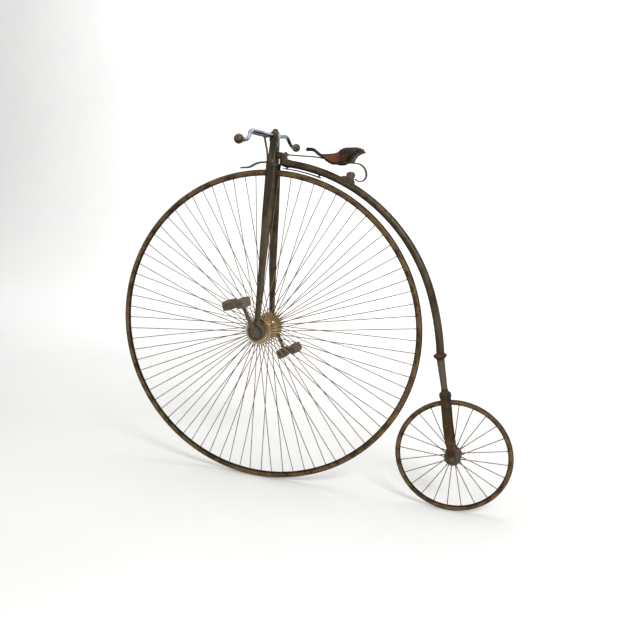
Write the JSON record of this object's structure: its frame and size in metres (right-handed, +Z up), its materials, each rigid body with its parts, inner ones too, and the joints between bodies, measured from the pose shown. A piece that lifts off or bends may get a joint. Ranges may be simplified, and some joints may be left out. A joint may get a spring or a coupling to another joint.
{
  "type": "penny farthing bicycle",
  "caption": "High bicycle with a large directly pedalled front wheel, a small trailing wheel, a curved backbone, a sprung leather saddle and a spoon brake.",
  "frame": {"origin": "the rider's seat, on the crown of the saddle leather over its middle", "axes": "+X forward along the road, +Y to the rider's left, +Z up"},
  "size_m": [1.7099, 0.775, 1.483],
  "materials": {
    "painted_frame": "worn olive-brown enamel over steel, satin",
    "dark_iron": "dark, oily forged steel",
    "rusty_iron": "brown rusted steel, matt",
    "bright_steel": "worn nickel plate, semi-gloss",
    "gunmetal": "tarnished gunmetal, satin",
    "tyre": "dusty solid rubber, matt",
    "pedal_rubber": "hard aged rubber, matt",
    "grip_horn": "worn turned grip, satin",
    "saddle_leather": "worn red-brown leather, semi-gloss"
  },
  "bodies": {
    "frame": {"backbone": "painted_frame", "backbone_lower": "painted_frame", "neck": "painted_frame", "backbone_tail": "dark_iron", "mounting_step": "rusty_iron", "rear_fork_crown": "rusty_iron", "rear_fork_left": "dark_iron", "rear_fork_right": "dark_iron", "rear_axle": "dark_iron", "saddle_spring": "dark_iron", "spring_roller": "dark_iron", "roller_lug": "painted_frame", "saddle_nose_iron": "bright_steel", "saddle_cantle": "dark_iron", "saddle_leather": "saddle_leather", "mud_strip": "bright_steel"},
    "fork": {"fork_crown": "painted_frame", "steering_head": "painted_frame", "head_cap": "dark_iron", "fork_left": "painted_frame", "fork_right": "painted_frame", "bearing_left": "dark_iron", "bearing_right": "dark_iron", "handlebar": "bright_steel", "grip_left": "grip_horn", "grip_right": "grip_horn", "brake_lever": "dark_iron", "brake_rod": "dark_iron", "brake_spoon": "rusty_iron"},
    "front_wheel": {"front_tyre": "tyre", "front_rim": "rusty_iron", "front_spokes": "rusty_iron", "front_hub": "gunmetal", "front_axle": "dark_iron", "crank_left": "dark_iron", "crank_right": "dark_iron", "pedal_pin_left": "bright_steel", "pedal_pin_right": "bright_steel"},
    "pedal_left": {"pedal_cage_left": "dark_iron", "pedal_rubbers_left": "pedal_rubber"},
    "pedal_right": {"pedal_cage_right": "dark_iron", "pedal_rubbers_right": "pedal_rubber"},
    "rear_wheel": {"rear_tyre": "tyre", "rear_rim": "rusty_iron", "rear_spokes": "rusty_iron", "rear_hub": "gunmetal"}
  },
  "joints": [
    {"name": "steering", "type": "hinge", "parent": "frame", "child": "fork", "pos_m": [0.269, 0, 0], "axis": [0, 0, 1], "range_deg": [-30, 30]},
    {"name": "front_wheel_spin", "type": "hinge", "parent": "fork", "child": "front_wheel", "pos_m": [0.275, 0, -0.74], "axis": [0, 1, 0], "continuous": true},
    {"name": "left_pedal_spin", "type": "hinge", "parent": "front_wheel", "child": "pedal_left", "pos_m": [0.34073, 0, -0.61639], "axis": [0, 1, 0], "continuous": true},
    {"name": "right_pedal_spin", "type": "hinge", "parent": "front_wheel", "child": "pedal_right", "pos_m": [0.20927, 0, -0.86361], "axis": [0, 1, 0], "continuous": true},
    {"name": "rear_wheel_spin", "type": "hinge", "parent": "frame", "child": "rear_wheel", "pos_m": [-0.545, 0, -1.17], "axis": [0, 1, 0], "continuous": true}
  ]
}
